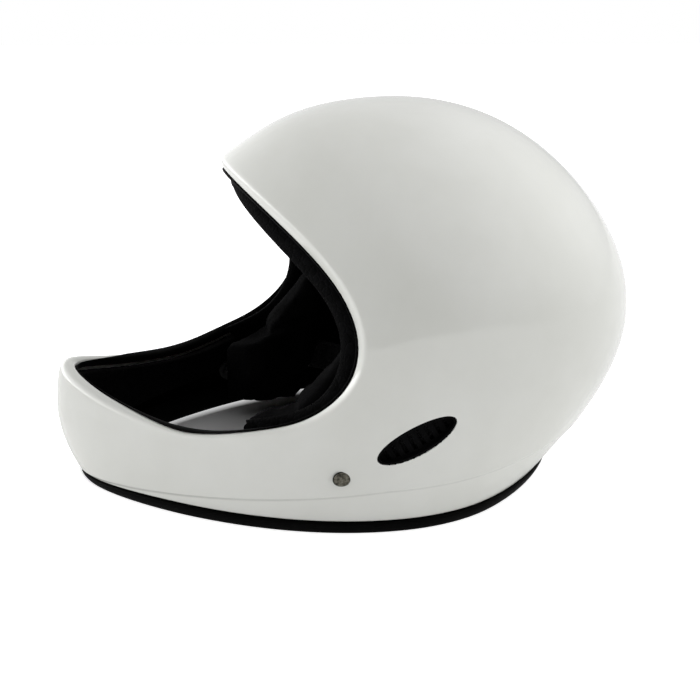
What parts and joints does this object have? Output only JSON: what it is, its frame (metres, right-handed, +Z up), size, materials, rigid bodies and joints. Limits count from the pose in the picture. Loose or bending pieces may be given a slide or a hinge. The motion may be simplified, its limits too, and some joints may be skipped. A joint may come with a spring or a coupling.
{
  "type": "full-face water sports helmet",
  "caption": "Full-face water sports helmet with a foam-lined moulded shell, large face opening, side vents and a swinging buckled chin strap.",
  "frame": {"origin": "centre of the box, at the level of the surface that the helmet stands on", "axes": "+Z up, the face opening and chin bar towards -Y, +X to the wearer's left"},
  "size_m": [0.2424, 0.3283, 0.2052],
  "materials": {
    "gelcoat": "gloss",
    "trim_rubber": "satin",
    "neck_rubber": "satin",
    "foam": "matte",
    "padding": "matte",
    "neoprene": "matte",
    "webbing": "matte",
    "black_plastic": "satin",
    "steel": "satin"
  },
  "bodies": {
    "helmet": {"outer_shell": "gelcoat", "face_trim": "trim_rubber", "neck_trim": "neck_rubber", "crown_liner": "foam", "chin_liner": "foam", "brow_pad": "padding", "crown_pad": "padding", "nape_pad": "padding", "nape_grille": "black_plastic", "side_liner_left": "foam", "side_liner_right": "foam", "temple_pad_left": "padding", "temple_pad_right": "padding", "stud_sockets_left": "black_plastic", "stud_sockets_right": "black_plastic", "ear_grille_left": "black_plastic", "ear_grille_right": "black_plastic", "ear_foam_left": "padding", "ear_foam_right": "padding", "strap_rivet_left": "steel", "strap_rivet_right": "steel", "rivet_washer_left": "steel", "rivet_washer_right": "steel"},
    "cheek_left": {"cheek_pad_left": "padding", "pad_studs_left": "black_plastic"},
    "cheek_right": {"cheek_pad_right": "padding", "pad_studs_right": "black_plastic"},
    "chin_strap": {"strap_hanger_left": "steel", "strap_hanger_right": "steel", "webbing_left": "webbing", "webbing_right": "webbing", "buckle_socket": "black_plastic", "buckle_plug": "black_plastic"},
    "strap_sleeve": {"chin_sleeve": "neoprene"},
    "front_prong": {"prong_front": "black_plastic"},
    "rear_prong": {"prong_rear": "black_plastic"}
  },
  "joints": [
    {"name": "strap_swing", "type": "hinge", "parent": "helmet", "child": "chin_strap", "pos_m": [0, -0.0218, 0.034], "axis": [1, 0, 0], "range_deg": [-83, 12]},
    {"name": "sleeve_slide", "type": "slide", "parent": "chin_strap", "child": "strap_sleeve", "axis": [0.5163, 0.8383, -0.1751], "range_m": [-0.008, 0.008]},
    {"name": "front_prong_squeeze", "type": "hinge", "parent": "chin_strap", "child": "front_prong", "pos_m": [0.0082, 0.06656, 0.00706], "axis": [0, 0.9789, -0.2045], "range_deg": [0, 8], "stiffness_Nm_per_rad": 0.4},
    {"name": "rear_prong_squeeze", "type": "hinge", "parent": "chin_strap", "child": "rear_prong", "pos_m": [0.0082, 0.06995, 0.02331], "axis": [0, -0.9789, 0.2045], "range_deg": [0, 8], "stiffness_Nm_per_rad": 0.4},
    {"name": "left_cheek_pull", "type": "slide", "parent": "helmet", "child": "cheek_left", "axis": [-1, 0, 0], "range_m": [0, 0.01]},
    {"name": "right_cheek_pull", "type": "slide", "parent": "helmet", "child": "cheek_right", "axis": [1, 0, 0], "range_m": [0, 0.01]}
  ]
}
